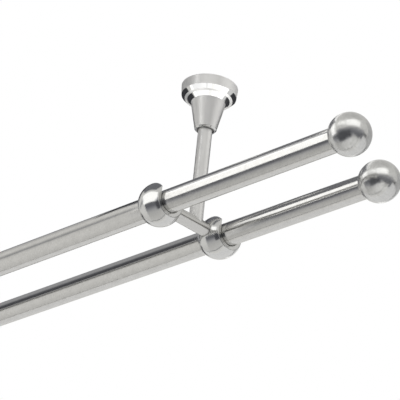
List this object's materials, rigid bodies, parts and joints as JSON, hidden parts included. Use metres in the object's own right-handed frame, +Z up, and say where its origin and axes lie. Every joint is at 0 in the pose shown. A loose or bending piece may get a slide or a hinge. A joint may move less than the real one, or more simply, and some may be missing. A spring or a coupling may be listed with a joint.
{
  "type": "double curtain pole",
  "caption": "Ceiling-mounted double curtain pole: satin steel tubes on two brackets with turned rosette, stem, cross arm and open-topped pole rings, closed by ball finials.",
  "frame": {"origin": "on the ceiling plane, midway between the two stems, which is the centre of the four ceiling screw holes", "axes": "+X along the poles, to the right when seen from the room; +Y from the room-side front pole to the window-side back pole; +Z up, into the ceiling"},
  "size_m": [1.2626, 0.1068, 0.1484],
  "materials": {
    "pole_steel": "fine cross-brushed satin",
    "bracket_steel": "turned satin with polished edges",
    "polished_steel": "polished",
    "finial_steel": "spun satin",
    "plain_steel": "plain, as machined"
  },
  "bodies": {
    "root": {"back_finial_left": "finial_steel", "back_finial_right": "finial_steel", "back_finial_screw_left": "plain_steel", "back_finial_screw_right": "plain_steel", "back_pole": "pole_steel", "back_pole_screw_left": "plain_steel", "back_pole_screw_right": "plain_steel", "back_ring_left": "polished_steel", "back_ring_right": "polished_steel", "back_ring_stud_left": "plain_steel", "back_ring_stud_right": "plain_steel", "ceiling_plate_left": "plain_steel", "ceiling_plate_right": "plain_steel", "cross_arm_left": "bracket_steel", "cross_arm_right": "bracket_steel", "front_finial_left": "finial_steel", "front_finial_right": "finial_steel", "front_finial_screw_left": "plain_steel", "front_finial_screw_right": "plain_steel", "front_pole": "pole_steel", "front_pole_screw_left": "plain_steel", "front_pole_screw_right": "plain_steel", "front_ring_left": "polished_steel", "front_ring_right": "polished_steel", "front_ring_stud_left": "plain_steel", "front_ring_stud_right": "plain_steel", "joint_stud_left": "plain_steel", "joint_stud_right": "plain_steel", "neck_left": "bracket_steel", "neck_right": "bracket_steel", "neck_screw_left": "plain_steel", "neck_screw_right": "plain_steel", "rosette_left": "bracket_steel", "rosette_right": "bracket_steel", "stem_left": "bracket_steel", "stem_right": "bracket_steel", "stem_stud_left": "plain_steel", "stem_stud_right": "plain_steel"}
  },
  "joints": []
}
